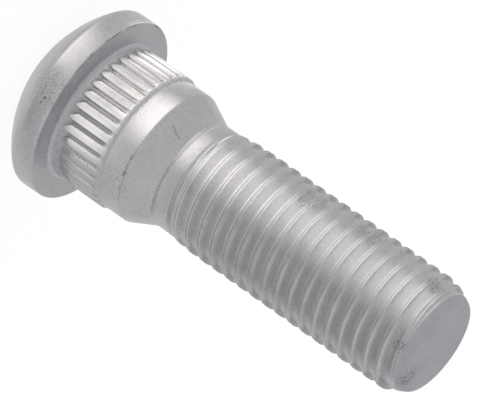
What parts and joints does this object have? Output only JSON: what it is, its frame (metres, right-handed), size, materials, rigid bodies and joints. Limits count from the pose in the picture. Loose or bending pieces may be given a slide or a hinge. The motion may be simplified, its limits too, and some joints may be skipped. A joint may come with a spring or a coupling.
{
  "type": "wheel stud",
  "caption": "Press-in wheel stud with a domed head, a serrated band, a smooth collar, a cone and a threaded shank with a tapered tip.",
  "frame": {"origin": "centre of the flat on the back of the head, which the stud stands on", "axes": "+Z along the stud's axis from the head to the threaded tip, +X and +Y across the axis"},
  "size_m": [0.0193, 0.0192, 0.0463],
  "materials": {
    "plated_steel": "zinc-plated satin grey"
  },
  "bodies": {
    "root": {"wheel_stud": "plated_steel"}
  },
  "joints": []
}
